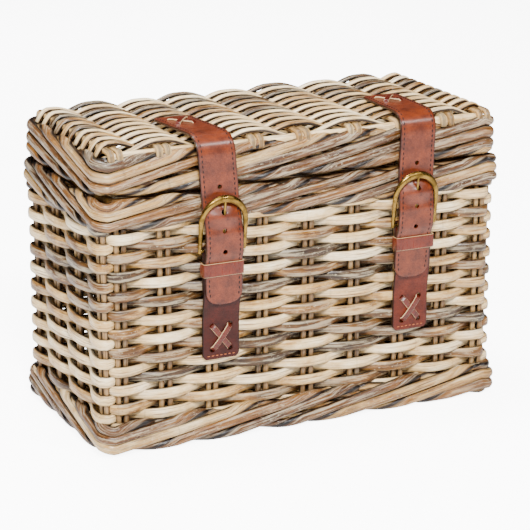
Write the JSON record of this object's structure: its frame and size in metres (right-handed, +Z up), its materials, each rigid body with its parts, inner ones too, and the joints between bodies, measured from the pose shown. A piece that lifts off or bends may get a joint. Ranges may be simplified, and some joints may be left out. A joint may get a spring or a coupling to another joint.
{
  "type": "wicker storage trunk",
  "caption": "Rectangular woven cane trunk on a pole frame, with a rear hinged woven lid and buckled leather straps that hold it shut.",
  "frame": {"origin": "on the floor under the middle of the trunk's box", "axes": "+X along the trunk to the right as seen from the front, -Y to the front with the straps, +Z up"},
  "size_m": [0.5, 0.2658, 0.3503],
  "materials": {
    "cane": "natural rattan, grey washed, satin",
    "border_cane": "grey washed thick rattan, matte",
    "stake_cane": "honey rattan, satin",
    "pole": "peeled rattan pole, satin",
    "leather": "waxed chestnut leather",
    "thong": "dark waxed thong",
    "brass": "antique brass"
  },
  "bodies": {
    "trunk": {"foot_border": "border_cane", "base_weave": "cane", "base_ribs": "stake_cane", "bottom_frame": "pole", "corner_posts": "pole", "rim_frame": "pole", "rim_border": "border_cane", "front_weave": "cane", "back_weave": "cane", "left_weave": "cane", "right_weave": "cane", "front_stakes": "stake_cane", "back_stakes": "stake_cane", "left_stakes": "stake_cane", "right_stakes": "stake_cane", "hinge_rod": "pole", "body_hinge_loops": "cane", "left_buckle_strap": "leather", "right_buckle_strap": "leather", "left_base_lace": "thong", "right_base_lace": "thong"},
    "lid": {"lid_border": "border_cane", "lid_weave": "cane", "lid_ribs": "stake_cane", "lid_frame": "pole", "lid_hinge_loops": "cane", "left_lid_strap": "leather", "right_lid_strap": "leather", "left_lid_lace": "thong", "right_lid_lace": "thong"},
    "left_tail": {"left_strap_tail": "leather"},
    "left_frame": {"left_buckle_frame": "brass"},
    "left_prong": {"left_buckle_prong": "brass"},
    "left_loop": {"left_keeper": "leather"},
    "right_tail": {"right_strap_tail": "leather"},
    "right_frame": {"right_buckle_frame": "brass"},
    "right_prong": {"right_buckle_prong": "brass"},
    "right_loop": {"right_keeper": "leather"}
  },
  "joints": [
    {"name": "lid_hinge", "type": "hinge", "parent": "trunk", "child": "lid", "pos_m": [0, 0.12578, 0.2874], "axis": [-1, 0, 0], "range_deg": [0, 105]},
    {"name": "left_tail_bend", "type": "hinge", "parent": "lid", "child": "left_tail", "pos_m": [-0.106, -0.1222, 0.303], "axis": [-1, 0, 0], "range_deg": [0, 150], "deforming": ["left_strap_tail"]},
    {"name": "left_frame_hinge", "type": "hinge", "parent": "trunk", "child": "left_frame", "pos_m": [-0.106, -0.12398, 0.222], "axis": [1, 0, 0], "range_deg": [0, 90]},
    {"name": "left_prong_hinge", "type": "hinge", "parent": "left_frame", "child": "left_prong", "pos_m": [-0.106, -0.12398, 0.222], "axis": [1, 0, 0], "range_deg": [0, 50]},
    {"name": "left_keeper_slide", "type": "slide", "parent": "trunk", "child": "left_loop", "axis": [0, 0, -1], "range_m": [0, 0.012]},
    {"name": "right_tail_bend", "type": "hinge", "parent": "lid", "child": "right_tail", "pos_m": [0.131, -0.1222, 0.303], "axis": [-1, 0, 0], "range_deg": [0, 150], "deforming": ["right_strap_tail"]},
    {"name": "right_frame_hinge", "type": "hinge", "parent": "trunk", "child": "right_frame", "pos_m": [0.131, -0.12398, 0.222], "axis": [1, 0, 0], "range_deg": [0, 90]},
    {"name": "right_prong_hinge", "type": "hinge", "parent": "right_frame", "child": "right_prong", "pos_m": [0.131, -0.12398, 0.222], "axis": [1, 0, 0], "range_deg": [0, 50]},
    {"name": "right_keeper_slide", "type": "slide", "parent": "trunk", "child": "right_loop", "axis": [0, 0, -1], "range_m": [0, 0.012]}
  ]
}
